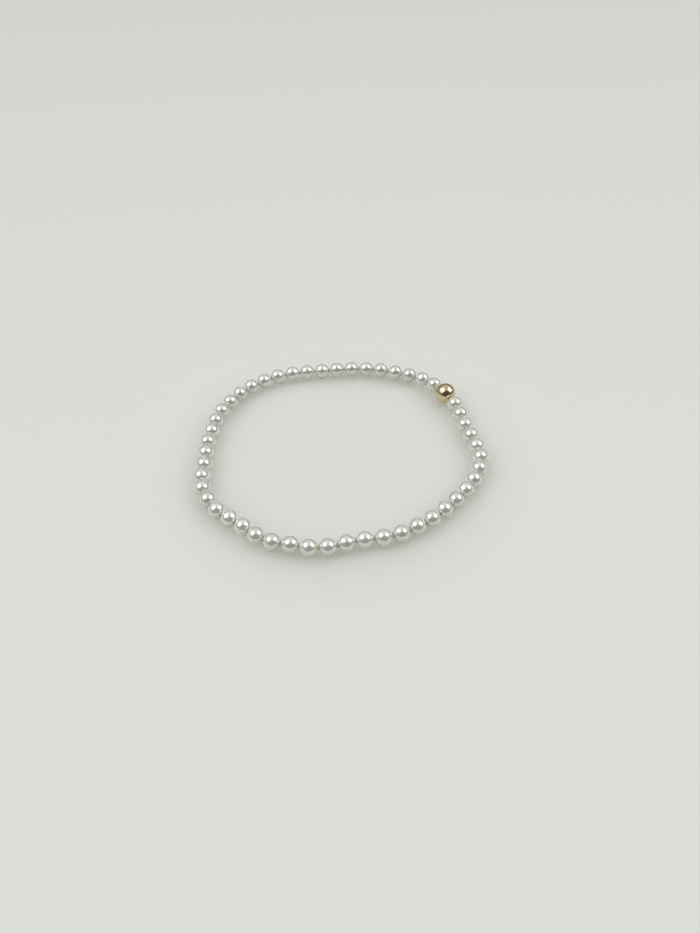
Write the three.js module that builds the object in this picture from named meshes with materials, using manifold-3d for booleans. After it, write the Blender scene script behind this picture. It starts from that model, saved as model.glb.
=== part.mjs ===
// A stretch bracelet of small pearls with one larger gold ball, lying open on a flat surface.
// Millimetres, +Z up. The origin is on that surface, under the middle of the loop.
import * as THREE from "three";
import { mergeVertices } from "three/addons/utils/BufferGeometryUtils.js";
import Module from "manifold-3d";

// Pearls: drilled balls whose ends are flat round the drill hole
const pearlCount = 50;
const pearlDiameter = 3.0;
const pearlEndFlat = 1.1;

// Gold ball: drilled right through, wide enough for the elastic to run free
const goldDiameter = 4.1;
const boreClearance = 0.3;

// Elastic, and how loosely the beads sit on it: the gaps are widest a quarter of the way round
const elasticDiameter = 0.7;
const beadGap = 0.15;
const gapSwing = 0.025;

// The gold ball holds the elastic up beside it, and the pearls come down to the surface in this reach
const liftReach = 8.0;

// How finely the round beads and the elastic are faceted
const pearlSides = 12;
const pearlBands = 5;
const goldSides = 16;
const goldBands = 9;
const elasticSides = 6;
const routeSteps = 2000;

// Where the beads lie, anticlockwise from the gold ball. The strung length scales the route through them.
const route = [
  [21.50, 14.35],
  [19.60, 17.45],
  [17.35, 19.85],
  [14.70, 21.65],
  [11.70, 23.00],
  [8.70, 24.00],
  [5.50, 24.55],
  [2.30, 24.75],
  [-0.95, 24.60],
  [-4.20, 24.35],
  [-7.45, 24.15],
  [-10.65, 23.65],
  [-13.75, 22.65],
  [-16.65, 21.00],
  [-19.20, 18.85],
  [-21.25, 16.40],
  [-22.85, 13.75],
  [-24.20, 10.90],
  [-24.85, 7.90],
  [-25.20, 5.00],
  [-25.60, 2.15],
  [-25.55, -0.85],
  [-25.55, -3.90],
  [-25.60, -7.05],
  [-25.05, -10.25],
  [-23.65, -13.20],
  [-21.85, -15.65],
  [-19.40, -17.70],
  [-16.95, -19.70],
  [-14.60, -21.85],
  [-11.65, -23.30],
  [-8.45, -24.00],
  [-5.45, -24.75],
  [-2.40, -24.60],
  [0.55, -23.90],
  [3.45, -23.35],
  [6.40, -23.10],
  [9.35, -22.30],
  [12.25, -20.85],
  [15.10, -19.05],
  [17.65, -16.80],
  [20.15, -14.35],
  [22.30, -11.70],
  [24.10, -9.00],
  [25.15, -6.00],
  [25.60, -3.05],
  [24.95, -0.10],
  [24.50, 2.60],
  [23.90, 5.35],
  [23.50, 8.20],
  [22.85, 11.10],
];

const pearlRadius = pearlDiameter / 2;
const goldRadius = goldDiameter / 2;
const boreRadius = elasticDiameter / 2 + boreClearance;

// Distance along the strung length to each bead's centre. The gold ball is bead 0.
function beadDistances() {
  const distances = [0];
  for (let i = 0; i < pearlCount; i += 1) {
    const turn = (2 * Math.PI * i) / (pearlCount + 1);
    const gap = beadGap + gapSwing * Math.sin(turn);
    const half = i === 0 ? goldRadius : pearlRadius;
    distances.push(distances[i] + half + gap + pearlRadius);
  }
  const strungLength = distances[pearlCount] + pearlRadius + beadGap + goldRadius;
  return { distances, strungLength };
}

// Height of the thread at a distance along the strung length: the gold ball and the pearls rest on z = 0
function threadHeight(distance, strungLength) {
  const away = Math.min(distance, strungLength - distance);
  return pearlRadius + (goldRadius - pearlRadius) * Math.exp(-((away / liftReach) ** 2));
}

// Bead centres: the closed route is scaled to the strung length, and the beads stand along it
function beadCentres() {
  const { distances, strungLength } = beadDistances();
  const points = route.map(([x, y]) => new THREE.Vector3(x, y, 0));
  const curve = new THREE.CatmullRomCurve3(points, true, "catmullrom", 0.5);
  curve.arcLengthDivisions = routeSteps;
  const scale = strungLength / curve.getLength();
  const centres = distances.map((distance) => {
    const centre = curve.getPointAt(distance / strungLength).multiplyScalar(scale);
    centre.z = threadHeight(distance, strungLength);
    return centre;
  });
  const middle = new THREE.Box3().setFromPoints(centres).getCenter(new THREE.Vector3());
  middle.z = 0;
  return centres.map((centre) => centre.sub(middle));
}

// Turns a lathe's own axis, Y, along the thread, with its Z side kept upwards
function threadFrame(centre, along) {
  const thread = along.clone().normalize();
  const side = new THREE.Vector3().crossVectors(thread, new THREE.Vector3(0, 0, 1)).normalize();
  const up = new THREE.Vector3().crossVectors(side, thread);
  return new THREE.Matrix4().makeBasis(side, thread, up).setPosition(centre);
}

// Half of a ball's outline from one end flat to the other. Its facets touch the ball at their middles.
function ballOutline(radius, endRadius, bands, sides) {
  const endAngle = Math.asin(endRadius / radius);
  const step = (Math.PI - 2 * endAngle) / bands;
  const outer = radius / Math.cos(step / 2);
  const outline = [];
  for (let i = 0; i <= bands; i += 1) {
    const angle = Math.PI - endAngle - step * i;
    const reach = (outer * Math.sin(angle)) / Math.cos(Math.PI / sides);
    outline.push(new THREE.Vector2(reach, outer * Math.cos(angle)));
  }
  return outline;
}

// A lathe whose facets face straight up and down
function lathe(outline, sides) {
  return new THREE.LatheGeometry(outline, sides, Math.PI / sides, 2 * Math.PI);
}

function pearlGeometry() {
  const outline = ballOutline(pearlRadius, pearlEndFlat / 2, pearlBands, pearlSides);
  const first = outline[0];
  const last = outline[outline.length - 1];
  return lathe([new THREE.Vector2(0, first.y), ...outline, new THREE.Vector2(0, last.y)], pearlSides);
}

function goldGeometry() {
  const outline = ballOutline(goldRadius, boreRadius, goldBands, goldSides);
  return lathe([...outline, outline[0].clone()], goldSides);
}

function elasticGeometry(length) {
  return new THREE.CylinderGeometry(elasticDiameter / 2, elasticDiameter / 2, length, elasticSides);
}

const wasm = await Module();
wasm.setup();

function toSolid(geometry) {
  const bare = geometry.clone();
  bare.deleteAttribute("normal");
  bare.deleteAttribute("uv");
  const merged = mergeVertices(bare, 1e-5);
  const mesh = new wasm.Mesh({
    numProp: 3,
    vertProperties: merged.attributes.position.array,
    triVerts: new Uint32Array(merged.index.array),
  });
  return new wasm.Manifold(mesh);
}

function toGeometry(solid) {
  const { vertProperties, triVerts } = solid.getMesh();
  const geometry = new THREE.BufferGeometry();
  geometry.setAttribute("position", new THREE.BufferAttribute(vertProperties, 3));
  geometry.setIndex(new THREE.BufferAttribute(triVerts, 1));
  const flat = geometry.toNonIndexed();
  flat.computeVertexNormals();
  return flat;
}

// Places that the elastic runs straight between: each pearl's centre, and the two mouths of the gold ball's bore
function elasticPlaces(centres) {
  const [gold, ...pearls] = centres;
  const along = pearls[0].clone().sub(pearls[pearls.length - 1]).normalize();
  const bore = along.multiplyScalar(goldRadius);
  return [gold.clone().sub(bore), gold.clone().add(bore), ...pearls];
}

// All the pearls on the elastic, as one body
function pearlString(centres) {
  const pearls = centres.slice(1).map((centre, i) => {
    const before = centres[i];
    const after = centres[(i + 2) % centres.length];
    const along = after.clone().sub(before);
    return pearlGeometry().applyMatrix4(threadFrame(centre, along));
  });
  const places = elasticPlaces(centres);
  const lengths = places.map((from, i) => {
    const to = places[(i + 1) % places.length];
    const along = to.clone().sub(from);
    const middle = from.clone().add(to).divideScalar(2);
    return elasticGeometry(along.length()).applyMatrix4(threadFrame(middle, along));
  });
  return [...lengths, ...pearls].map(toSolid).reduce((whole, piece) => whole.add(piece));
}

function goldBall(centres) {
  const along = centres[1].clone().sub(centres[centres.length - 1]);
  return goldGeometry().applyMatrix4(threadFrame(centres[0], along));
}

const centres = beadCentres();

const pearlLustre = new THREE.MeshStandardMaterial({
  color: 0xe6e3dc,
  roughness: 0.22,
  metalness: 0.3,
  name: "pearl",
});
const polishedGold = new THREE.MeshStandardMaterial({
  color: 0xd9b25c,
  roughness: 0.12,
  metalness: 1.0,
  name: "gold",
});

const pearls = new THREE.Mesh(toGeometry(pearlString(centres)), pearlLustre);
pearls.name = "pearl_string";

const gold = new THREE.Mesh(goldBall(centres), polishedGold);
gold.name = "gold_bead";

const bracelet = new THREE.Group();
bracelet.name = "pearl_bracelet";
bracelet.add(pearls, gold);

export default bracelet;
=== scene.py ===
import math

import bpy
import numpy as np
from mathutils import Matrix, Vector


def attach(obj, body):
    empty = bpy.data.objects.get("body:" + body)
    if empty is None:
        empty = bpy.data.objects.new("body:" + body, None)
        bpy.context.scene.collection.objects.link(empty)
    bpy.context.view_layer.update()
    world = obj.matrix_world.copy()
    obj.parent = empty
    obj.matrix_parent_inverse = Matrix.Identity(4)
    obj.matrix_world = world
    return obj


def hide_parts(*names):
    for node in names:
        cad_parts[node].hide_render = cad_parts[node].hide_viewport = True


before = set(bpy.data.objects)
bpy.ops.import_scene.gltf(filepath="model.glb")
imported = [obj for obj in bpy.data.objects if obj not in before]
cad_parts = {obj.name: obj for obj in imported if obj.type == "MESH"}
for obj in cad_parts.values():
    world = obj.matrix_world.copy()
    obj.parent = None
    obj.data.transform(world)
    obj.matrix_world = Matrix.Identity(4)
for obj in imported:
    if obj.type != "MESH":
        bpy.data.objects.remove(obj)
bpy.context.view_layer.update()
print("frame loaded:", ", ".join(sorted(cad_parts)))

mm = 0.001

# How the bracelet is strung and how it lies. These are the numbers of the part's own source.
lay = {
    "pearlCount": 50,
    "pearlMm": 3.0,
    "goldMm": 4.1,
    "gapMm": 0.15,
    "gapSwingMm": 0.025,    # the gaps are widest a quarter of the way round
    "liftReachMm": 8.0,     # the pearls come down from the gold ball's height in this reach
    "routeSteps": 2000,     # how finely the route's length is measured
}

# Where the beads lie, anticlockwise from the gold ball, in mm before the strung length scales it
routeMm = np.array([
    (21.5, 14.35), (19.6, 17.45), (17.35, 19.85), (14.7, 21.65), (11.7, 23),
    (8.7, 24), (5.5, 24.55), (2.3, 24.75), (-0.95, 24.6), (-4.2, 24.35),
    (-7.45, 24.15), (-10.65, 23.65), (-13.75, 22.65), (-16.65, 21), (-19.2, 18.85),
    (-21.25, 16.4), (-22.85, 13.75), (-24.2, 10.9), (-24.85, 7.9), (-25.2, 5),
    (-25.6, 2.15), (-25.55, -0.85), (-25.55, -3.9), (-25.6, -7.05), (-25.05, -10.25),
    (-23.65, -13.2), (-21.85, -15.65), (-19.4, -17.7), (-16.95, -19.7), (-14.6, -21.85),
    (-11.65, -23.3), (-8.45, -24), (-5.45, -24.75), (-2.4, -24.6), (0.55, -23.9),
    (3.45, -23.35), (6.4, -23.1), (9.35, -22.3), (12.25, -20.85), (15.1, -19.05),
    (17.65, -16.8), (20.15, -14.35), (22.3, -11.7), (24.1, -9), (25.15, -6),
    (25.6, -3.05), (24.95, -0.1), (24.5, 2.6), (23.9, 5.35), (23.5, 8.2),
    (22.85, 11.1),
])


def unit(vectors):
    # Each vector divided by its own length
    return vectors / np.linalg.norm(vectors, axis=-1, keepdims=True)


def smoothCubic(w, start, end, leave, arrive):
    # The cubic from start to end that sets off along leave and comes in along arrive, while
    # w runs from 0 to 1
    cubic = 2 * start - 2 * end + leave + arrive
    square = 3 * end - 3 * start - 2 * leave - arrive
    return ((cubic * w + square) * w + leave) * w + start


def routeAt(t):
    # A smooth cubic between each two route points, which leaves each point along the line
    # that joins the points on both sides of it. t runs from 0 to 1 round the whole loop.
    count = len(routeMm)
    place = (t % 1.0) * count
    i = np.floor(place).astype(int)
    w = (place - i)[:, None]
    before, here, after, beyond = (routeMm[(i + k) % count] for k in (-1, 0, 1, 2))
    return smoothCubic(w, here, after, (after - before) / 2, (beyond - here) / 2)


def layBeads():
    # Each bead stands half of both beads and a small gap beyond the last one. The gold ball
    # is bead 0. Heights fall from the gold ball's to the pearls' as a bell curve of the
    # distance along the thread, and each bead's hole points along the line of its neighbours.
    pearlRadius, goldRadius = lay["pearlMm"] / 2, lay["goldMm"] / 2
    i = np.arange(lay["pearlCount"])
    gaps = lay["gapMm"] + lay["gapSwingMm"] * np.sin(2 * math.pi * i / (lay["pearlCount"] + 1))
    halves = np.where(i == 0, goldRadius, pearlRadius)
    along = np.r_[0, np.cumsum(halves + gaps + pearlRadius)]
    strung = along[-1] + pearlRadius + lay["gapMm"] + goldRadius
    t = np.linspace(0, 1, lay["routeSteps"] + 1)
    steps = np.linalg.norm(np.diff(routeAt(t), axis=0), axis=1)
    run = np.r_[0, np.cumsum(steps)]
    beadT = np.interp(along / strung * run[-1], run, t)
    flat = routeAt(beadT) * strung / run[-1]
    flat -= (flat.max(0) + flat.min(0)) / 2
    away = np.minimum(along, strung - along)
    height = pearlRadius + (goldRadius - pearlRadius) * np.exp(-(away / lay["liftReachMm"]) ** 2)
    centres = np.c_[flat, height] * mm
    holes = unit(np.roll(centres, -1, 0) - np.roll(centres, 1, 0))
    return centres, holes


centres, holes = layBeads()
print("beads laid:", len(centres))


def linear(hexColour):
    # sRGB hex to the linear colour that shaders take
    parts = np.array([int(hexColour[k:k + 2], 16) for k in (1, 3, 5)]) / 255
    low, high = parts / 12.92, ((parts + 0.055) / 1.055) ** 2.4
    return (*np.where(parts <= 0.04045, low, high), 1.0)


def addNode(tree, kind, inputs=None, **settings):
    # Inputs are other nodes' outputs, which are linked, or plain values
    node = tree.nodes.new(kind)
    for name, value in settings.items():
        setattr(node, name, value)
    for socket, value in (inputs or {}).items():
        if isinstance(value, bpy.types.NodeSocket):
            tree.links.new(value, node.inputs[socket])
        else:
            node.inputs[socket].default_value = value
    return node


def newMaterial(name):
    material = bpy.data.materials.new(name)
    material.use_nodes = True
    material.node_tree.nodes.clear()
    return material, material.node_tree


def makePiece(name, points, faces, material, uv=None, values=None):
    # points n x 3, faces m x 4, uv one pair for each corner, values one number for each point
    mesh = bpy.data.meshes.new(name)
    mesh.from_pydata(points.tolist(), [], faces.tolist())
    mesh.shade_smooth()
    if uv is not None:
        mesh.uv_layers.new(name="surface").data.foreach_set("uv", uv.astype(np.float32).ravel())
    for label, numbers in (values or {}).items():
        layer = mesh.attributes.new(label, "FLOAT", "POINT")
        layer.data.foreach_set("value", numbers.astype(np.float32).ravel())
    mesh.materials.append(material)
    mesh.validate()
    piece = bpy.data.objects.new(name, mesh)
    bpy.context.scene.collection.objects.link(piece)
    return piece


def closedGrid(rings, sides):
    # Faces of a grid of points that closes on itself both ways, and a UV pair for each
    # corner: u runs once round each ring, and v once through all the rings
    r, s = (index.ravel() for index in np.meshgrid(np.arange(rings), np.arange(sides), indexing="ij"))
    nextR, nextS = (r + 1) % rings, (s + 1) % sides
    faces = np.c_[r * sides + s, r * sides + nextS, nextR * sides + nextS, nextR * sides + s]
    u, v = np.c_[s, s + 1, s + 1, s] / sides, np.c_[r, r, r + 1, r + 1] / rings
    return faces, np.stack([u, v], -1).reshape(-1, 2)


def drilledOutline(ballMm, look):
    # Outline of a drilled ball, as a closed line of (distance from the hole's axis, height):
    # over a round lip, across the end flat and over the ball, the same way down to the other
    # end, and up the bore. Between the flat and the ball, the line is the soft minimum of
    # both distances.
    radius, flatRadius = ballMm / 2 * mm, look["flatMm"] / 2 * mm
    boreRadius, lip = look["boreMm"] / 2 * mm, look["lipMm"] * mm
    flatHeight = math.sqrt(radius ** 2 - flatRadius ** 2)
    start = math.atan2(boreRadius + lip, flatHeight)
    polar = np.linspace(start, math.pi / 2, look["ballSteps"] + 1)
    sharpness = 70          # a higher one makes a tighter bend where the flat meets the ball
    reach = (radius ** -sharpness + (np.cos(polar) / flatHeight) ** sharpness) ** (-1 / sharpness)
    over = np.c_[reach * np.sin(polar), reach * np.cos(polar)]
    turn = np.linspace(0, math.pi / 2, look["lipSteps"] + 1)[:-1]
    top = over[0, 1]
    edge = np.c_[boreRadius + lip * (1 - np.cos(turn)), top - lip * (1 - np.sin(turn))]
    upper = np.r_[edge, over]
    lower = upper[-2::-1] * (1, -1)
    inside = np.linspace(lower[-1, 1], upper[0, 1], look["boreSteps"] + 1)[1:-1]
    bore = np.c_[np.full(len(inside), boreRadius), inside]
    return np.r_[upper, lower, bore]


def turned(outline, sides, centre, hole, spin=0.0):
    # The outline turned about the hole's axis: each point goes round in equal angles, and
    # its height runs along the hole. Returns points, faces and a UV pair for each corner.
    angle = spin + np.arange(sides) * 2 * math.pi / sides
    side = unit(np.cross(hole, (0, 0, 1)))
    up = np.cross(side, hole)
    ring = np.cos(angle)[:, None] * side + np.sin(angle)[:, None] * up
    points = centre + outline[:, None, :1] * ring[None] + outline[:, None, 1:] * hole
    return points.reshape(-1, 3), *closedGrid(len(outline), sides)


pearlLook = {
    "flatMm": 0.88,         # flat round each drill hole
    "boreMm": 0.76,
    "lipMm": 0.05,          # how round the hole's edge is
    "longer": 0.014,        # how much longer a bead is than its width
    "outOfRound": 0.006,    # and how far one bead differs from another in it
    "seed": 7,
    "sides": 48,
    "ballSteps": 14,
    "lipSteps": 3,
    "boreSteps": 2,
    "bodyColours": ("#e3e3de", "#ebebe8"),
    "rimColour": "#d9cfb9",
    "bodyRoughness": 0.09,
    "rimRoughness": 0.45,
    "cloudMm": 1.1,         # width of the milky drift
    "grainMm": 0.14,        # and of the coat's fine unevenness
    "milkyMm": 0.7,         # how far light spreads in the body
}


def nacreMaterial():
    # Pearl coat: many thin layers of nacre lacquer dipped over a round core. The layers act
    # as a soft mirror over a milky body, so the lights show sharp in a silvery white.
    look = pearlLook
    material, tree = newMaterial("dippedNacre")
    place = addNode(tree, "ShaderNodeTexCoord").outputs["Object"]
    tone = addNode(tree, "ShaderNodeAttribute", attribute_name="beadTone").outputs["Fac"]
    rim = addNode(tree, "ShaderNodeAttribute", attribute_name="holeRim").outputs["Fac"]
    cloud = addNode(tree, "ShaderNodeTexNoise", {
        "Vector": place, "Scale": 1 / (look["cloudMm"] * mm), "Detail": 2.0})
    mixed = addNode(tree, "ShaderNodeMath", {0: tone, 1: cloud.outputs["Fac"]}, operation="ADD")
    shade = addNode(tree, "ShaderNodeMapRange", {
        "Value": mixed.outputs[0], "From Min": 0.2, "From Max": 1.8})
    pale, paler = (linear(colour) for colour in look["bodyColours"])
    body = addNode(tree, "ShaderNodeMix", {0: shade.outputs[0], 6: pale, 7: paler}, data_type="RGBA")
    # the coat thins out round the hole, and the cream core shows
    bare = addNode(tree, "ShaderNodeMix", {
        0: rim, 6: body.outputs[2], 7: linear(look["rimColour"])}, data_type="RGBA")
    grain = addNode(tree, "ShaderNodeTexNoise", {
        "Vector": place, "Scale": 1 / (look["grainMm"] * mm), "Detail": 3.0})
    bump = addNode(tree, "ShaderNodeBump", {
        "Height": grain.outputs["Fac"], "Strength": 0.10, "Distance": 0.02 * mm})
    rough = addNode(tree, "ShaderNodeMapRange", {
        "Value": rim, "To Min": look["bodyRoughness"], "To Max": look["rimRoughness"]})
    shader = addNode(tree, "ShaderNodeBsdfPrincipled", {
        "Base Color": bare.outputs[2], "Metallic": 0.5, "Roughness": rough.outputs[0],
        "IOR": 1.55, "Coat Weight": 0.9, "Coat Roughness": 0.03, "Coat IOR": 1.55,
        "Subsurface Weight": 0.7, "Subsurface Radius": (1.0, 1.0, 1.0),
        "Subsurface Scale": look["milkyMm"] * mm, "Normal": bump.outputs["Normal"]})
    addNode(tree, "ShaderNodeOutputMaterial", {"Surface": shader.outputs[0]})
    return material


def makePearls():
    look, random = pearlLook, np.random.default_rng(pearlLook["seed"])
    outline = drilledOutline(lay["pearlMm"], look)
    count = lay["pearlCount"]
    spins = random.uniform(0, 2 * math.pi, count)
    tones = random.uniform(0, 1, count)
    stretch = 1 + look["longer"] + look["outOfRound"] * random.uniform(-1, 1, count)
    # 1 in the hole and on its round edge, down to 0 where the flat ends
    inHole = np.clip((look["flatMm"] / 2 - outline[:, 0] / mm) / look["lipMm"], 0, 1)
    points, faces, uvs, tone, rim = [], [], [], [], []
    for k in range(count):
        longer = outline * (1, stretch[k])
        p, f, uv = turned(longer, look["sides"], centres[k + 1], holes[k + 1], spins[k])
        points.append(p)
        faces.append(f + k * len(p))
        uvs.append(uv)
        tone.append(np.full(len(p), tones[k]))
        rim.append(np.repeat(inHole, look["sides"]))
    return makePiece(
        "pearls", np.concatenate(points), np.concatenate(faces), nacreMaterial(),
        np.concatenate(uvs), {"beadTone": np.concatenate(tone), "holeRim": np.concatenate(rim)})


pearls = makePearls()
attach(pearls, "root")
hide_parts("pearl_string")
print("pearls made:", len(pearls.data.polygons) * 2, "triangles")


elasticLook = {
    "diameterMm": 0.7,
    "straightShare": 0.86,  # how much of each bead's half length the elastic runs straight in
    "sides": 20,
    "gapRings": 7,
    "colours": ("#e6dbc2", "#f3ebd9"),
    "roughness": 0.3,
    "clearness": 0.2,       # how much of the light goes through
    "cloudMm": 0.67,        # width of the cloudy patches
}


def elasticLine():
    # Through each bead the elastic runs straight along the hole. Between two beads it turns
    # in one smooth bend, a cubic that leaves and arrives along the two holes.
    radius = np.full(len(centres), lay["pearlMm"] / 2 * mm)
    radius[0] = lay["goldMm"] / 2 * mm
    half = (elasticLook["straightShare"] * radius)[:, None]
    enter, leave = centres - holes * half, centres + holes * half
    meet, nextHoles = np.roll(enter, -1, 0), np.roll(holes, -1, 0)
    span = np.linalg.norm(meet - leave, axis=1)[:, None]
    w = np.linspace(0, 1, elasticLook["gapRings"])[None, :, None]
    ends = (leave, meet, span * holes, span * nextHoles)
    return smoothCubic(w, *(rows[:, None] for rows in ends)).reshape(-1, 3)


def tube(line, radius, sides):
    # A closed tube: a circle stands square to the line at each point, with its top kept up
    heading = unit(np.roll(line, -1, 0) - np.roll(line, 1, 0))
    side = unit(np.cross(heading, (0, 0, 1)))
    up = np.cross(side, heading)
    angle = (np.arange(sides) * 2 * math.pi / sides)[None, :, None]
    ring = np.cos(angle) * side[:, None] - np.sin(angle) * up[:, None]
    points = line[:, None] + radius * ring
    return points.reshape(-1, 3), *closedGrid(len(line), sides)


def elasticMaterial():
    # Clear stretch cord: polyurethane, extruded. Cloudy from being stretched, so it reads as
    # a short beige line in each gap.
    look = elasticLook
    material, tree = newMaterial("extrudedPolyurethane")
    place = addNode(tree, "ShaderNodeTexCoord").outputs["Object"]
    cloud = addNode(tree, "ShaderNodeTexNoise", {
        "Vector": place, "Scale": 1 / (look["cloudMm"] * mm), "Detail": 2.0})
    beige, paler = (linear(colour) for colour in look["colours"])
    colour = addNode(tree, "ShaderNodeMix", {
        0: cloud.outputs["Fac"], 6: beige, 7: paler}, data_type="RGBA")
    bump = addNode(tree, "ShaderNodeBump", {
        "Height": cloud.outputs["Fac"], "Strength": 0.2, "Distance": 0.02 * mm})
    shader = addNode(tree, "ShaderNodeBsdfPrincipled", {
        "Base Color": colour.outputs[2], "Roughness": look["roughness"], "IOR": 1.5,
        "Transmission Weight": look["clearness"], "Normal": bump.outputs["Normal"]})
    addNode(tree, "ShaderNodeOutputMaterial", {"Surface": shader.outputs[0]})
    return material


def makeElastic():
    points, faces, uv = tube(elasticLine(), elasticLook["diameterMm"] / 2 * mm, elasticLook["sides"])
    return makePiece("elastic_cord", points, faces, elasticMaterial(), uv)


elastic = makeElastic()
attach(elastic, "root")
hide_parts("pearl_string")
print("elastic made:", len(elastic.data.polygons) * 2, "triangles")


goldLook = {
    "flatMm": 1.10,         # the ball ends here, where the hole's round edge begins
    "boreMm": 0.86,
    "lipMm": 0.12,
    "sides": 128,
    "ballSteps": 40,
    "lipSteps": 6,
    "boreSteps": 6,
    "colours": ("#dacba6", "#e2d4ae"),
    "roughness": (0.08, 0.15),
    "cloudMm": 0.83,        # width of the patches that differ in polish
    "scuffMm": 0.11,        # and of the fine scuffs
}


def goldMaterial():
    # Gold-filled brass: a drawn shell with a rolled gold face, barrel polished. A warm
    # mirror, with the faint fine scuffs that wear gives it.
    look = goldLook
    material, tree = newMaterial("polishedGoldFill")
    place = addNode(tree, "ShaderNodeTexCoord").outputs["Object"]
    cloud = addNode(tree, "ShaderNodeTexNoise", {
        "Vector": place, "Scale": 1 / (look["cloudMm"] * mm), "Detail": 3.0})
    scuff = addNode(tree, "ShaderNodeTexNoise", {
        "Vector": place, "Scale": 1 / (look["scuffMm"] * mm), "Detail": 4.0})
    warm, paler = (linear(colour) for colour in look["colours"])
    colour = addNode(tree, "ShaderNodeMix", {
        0: cloud.outputs["Fac"], 6: warm, 7: paler}, data_type="RGBA")
    smooth, dull = look["roughness"]
    rough = addNode(tree, "ShaderNodeMapRange", {
        "Value": cloud.outputs["Fac"], "From Min": 0.3, "From Max": 0.7,
        "To Min": smooth, "To Max": dull})
    bump = addNode(tree, "ShaderNodeBump", {
        "Height": scuff.outputs["Fac"], "Strength": 0.06, "Distance": 0.02 * mm})
    shader = addNode(tree, "ShaderNodeBsdfPrincipled", {
        "Base Color": colour.outputs[2], "Metallic": 1.0, "Roughness": rough.outputs[0],
        "Normal": bump.outputs["Normal"]})
    addNode(tree, "ShaderNodeOutputMaterial", {"Surface": shader.outputs[0]})
    return material


def makeGoldBall():
    outline = drilledOutline(lay["goldMm"], goldLook)
    points, faces, uv = turned(outline, goldLook["sides"], centres[0], holes[0])
    return makePiece("gold_ball", points, faces, goldMaterial(), uv)


goldBall = makeGoldBall()
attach(goldBall, "root")
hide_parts("gold_bead")
print("gold ball made:", len(goldBall.data.polygons) * 2, "triangles")


floorLook = {
    "sizeM": 8.0,
    "colour": "#e1e3df",
    "spreadMm": 18.0,           # how far light spreads inside the sheet
    "spreadColours": (1.0, 0.97, 0.82),     # red, green and blue shares of it
    "spreadEndsMm": (31.0, 38.0),   # it fades out between these distances from the middle
}


def floorMaterial():
    # Opal acrylic sheet, cast: light goes a little way in, so the shadows read soft and warm.
    # Past those shadows the spread shows nothing, so it fades out there to save time.
    material, tree = newMaterial("castOpalAcrylic")
    place = addNode(tree, "ShaderNodeTexCoord").outputs["Object"]
    away = addNode(tree, "ShaderNodeVectorMath", {0: place}, operation="LENGTH")
    near, far = (edge * mm for edge in floorLook["spreadEndsMm"])
    inside = addNode(tree, "ShaderNodeMapRange", {
        "Value": away.outputs["Value"], "From Min": near, "From Max": far,
        "To Min": 1.0, "To Max": 0.0})
    shader = addNode(tree, "ShaderNodeBsdfPrincipled", {
        "Base Color": linear(floorLook["colour"]), "Roughness": 0.5, "IOR": 1.5,
        "Specular IOR Level": 0.2, "Subsurface Weight": inside.outputs[0],
        "Subsurface Radius": floorLook["spreadColours"],
        "Subsurface Scale": floorLook["spreadMm"] * mm})
    addNode(tree, "ShaderNodeOutputMaterial", {"Surface": shader.outputs[0]})
    return material


def makeFloor():
    half = floorLook["sizeM"] / 2
    corners = np.array([(-half, -half, 0), (half, -half, 0), (half, half, 0), (-half, half, 0)])
    floor = makePiece("floor", corners, np.array([(0, 1, 2, 3)]), floorMaterial())


# The soft lights and the room round them
studio = {
    "panels": (
        {"name": "softbox_left", "toward": (-0.57, -0.09, 0.81), "turn": 0.0,
         "acrossM": 2.05, "alongM": 2.3, "radiance": 2.26},
        {"name": "softbox_right", "toward": (0.70, 0.0, 0.71), "turn": -18.0,
         "acrossM": 2.08, "alongM": 2.15, "radiance": 2.26},
    ),
    "panelDistanceM": 3.0,
    "backdropColour": "#dcdedb",
    "roomColour": "#b1b1ab",
    # Each part of the room has its colour in full up to one angle from its middle, and ends
    # at a wider one. Both are given as cosines: low walls, a glow round each light, the far
    # ceiling, the right and the place behind the camera.
    "roomParts": (
        {"toward": (0.0, 0.0, -1.0), "full": -0.30, "edge": -0.70, "colour": "#7f7e79"},
        {"toward": (-0.60, 0.08, 0.80), "full": 0.92, "edge": 0.66, "colour": "#dfdeda"},
        {"toward": (0.70, 0.10, 0.70), "full": 0.92, "edge": 0.66, "colour": "#dfdeda"},
        {"toward": (0.0, 0.45, 0.89), "full": 0.96, "edge": 0.80, "colour": "#d6d5d0"},
        {"toward": (1.0, 0.1, 0.05), "full": 0.95, "edge": 0.50, "colour": "#87847e"},
        {"toward": (0.12, -0.93, 0.33), "full": 0.88, "edge": 0.48, "colour": "#534c44"},
    ),
}


def makePanel(panel):
    # A lamp shines down its own Z axis, so that axis points away from the bracelet. Its power
    # is its radiance times its area times pi.
    data = bpy.data.lights.new(panel["name"], "AREA")
    data.shape = "RECTANGLE"
    data.size, data.size_y = panel["acrossM"], panel["alongM"]
    data.energy = panel["radiance"] * math.pi * data.size * data.size_y
    lamp = bpy.data.objects.new(panel["name"], data)
    toward = Vector(panel["toward"]).normalized()
    flat = Matrix.Rotation(math.atan2(toward.x, toward.z), 4, "Y")
    nod = Matrix.Rotation(-math.asin(toward.y), 4, "X")
    spin = Matrix.Rotation(math.radians(panel["turn"]), 4, "Z")
    lamp.matrix_world = Matrix.Translation(toward * studio["panelDistanceM"]) @ flat @ nod @ spin
    lamp.visible_camera = False
    bpy.context.scene.collection.objects.link(lamp)


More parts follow.
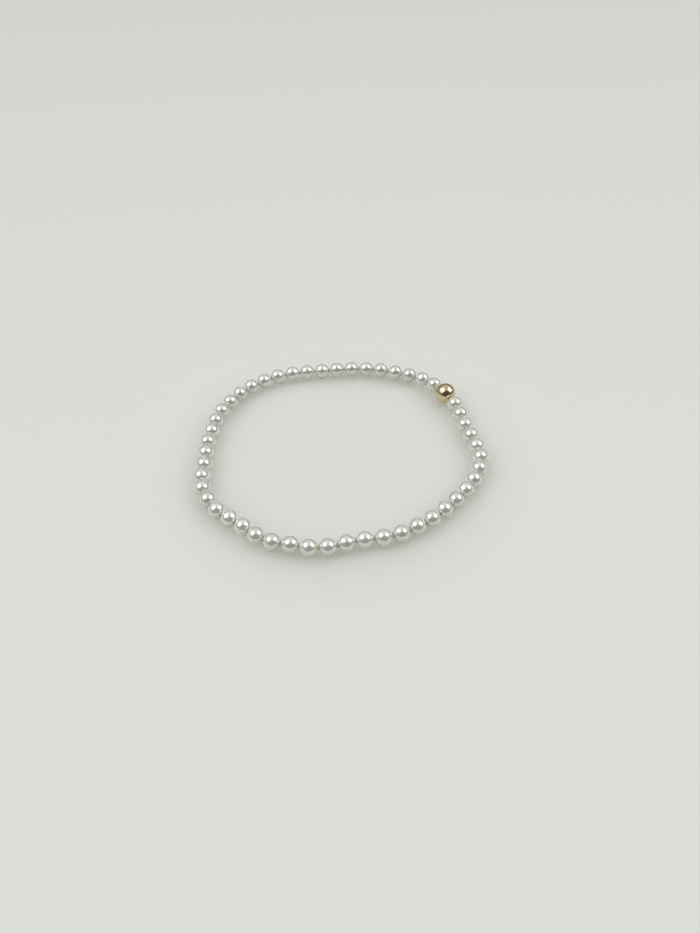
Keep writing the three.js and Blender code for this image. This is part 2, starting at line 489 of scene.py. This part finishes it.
def makeWorld():
    # A pale room. Each part of it is mixed in by the cosine of the angle to its middle. The
    # camera itself sees only the plain backdrop.
    world = bpy.data.worlds.new("room")
    bpy.context.scene.world = world
    world.use_nodes = True
    tree = world.node_tree
    tree.nodes.clear()
    direction = addNode(tree, "ShaderNodeTexCoord").outputs["Generated"]
    colour = linear(studio["roomColour"])
    for part in studio["roomParts"]:
        cosine = addNode(tree, "ShaderNodeVectorMath", {
            0: direction, 1: Vector(part["toward"]).normalized()}, operation="DOT_PRODUCT")
        share = addNode(tree, "ShaderNodeMapRange", {
            "Value": cosine.outputs["Value"], "From Min": part["edge"], "From Max": part["full"]},
            interpolation_type="SMOOTHSTEP")
        mixed = addNode(tree, "ShaderNodeMix", {
            0: share.outputs[0], 6: colour, 7: linear(part["colour"])}, data_type="RGBA")
        colour = mixed.outputs[2]
    seen = addNode(tree, "ShaderNodeLightPath").outputs["Is Camera Ray"]
    room = addNode(tree, "ShaderNodeBackground", {"Color": colour})
    backdrop = addNode(tree, "ShaderNodeBackground", {"Color": linear(studio["backdropColour"])})
    both = addNode(tree, "ShaderNodeMixShader", {0: seen, 1: room.outputs[0], 2: backdrop.outputs[0]})
    addNode(tree, "ShaderNodeOutputWorld", {"Surface": both.outputs[0]})


makeFloor()
for panel in studio["panels"]:
    makePanel(panel)
makeWorld()
bpy.context.scene.view_settings.view_transform = "Standard"
print("studio made")


# Where the photograph was taken from, with its angles in degrees
view = {
    "placeMm": (-0.45, -99.1, 89.49),
    "elevation": 43.326,
    "yaw": 1.125,
    "roll": -1.325,
    "focalPixels": 700.0,
    "framePixels": (700, 933),
    "sensorMm": 36.0,
    "nearestM": 0.005,
}


def makeCamera():
    data = bpy.data.cameras.new("camera")
    data.sensor_width = view["sensorMm"]
    data.lens = view["sensorMm"] * view["focalPixels"] / max(view["framePixels"])
    data.clip_start = view["nearestM"]
    camera = bpy.data.objects.new("camera", data)
    yaw, roll, tip = (math.radians(view[k]) for k in ("yaw", "roll", "elevation"))
    turn = (Matrix.Rotation(-yaw, 4, "Z") @ Matrix.Rotation(math.pi / 2 - tip, 4, "X")
            @ Matrix.Rotation(roll, 4, "Z"))
    camera.matrix_world = Matrix.Translation([c * mm for c in view["placeMm"]]) @ turn
    bpy.context.scene.collection.objects.link(camera)
    bpy.context.scene.camera = camera


makeCamera()
print("camera set")
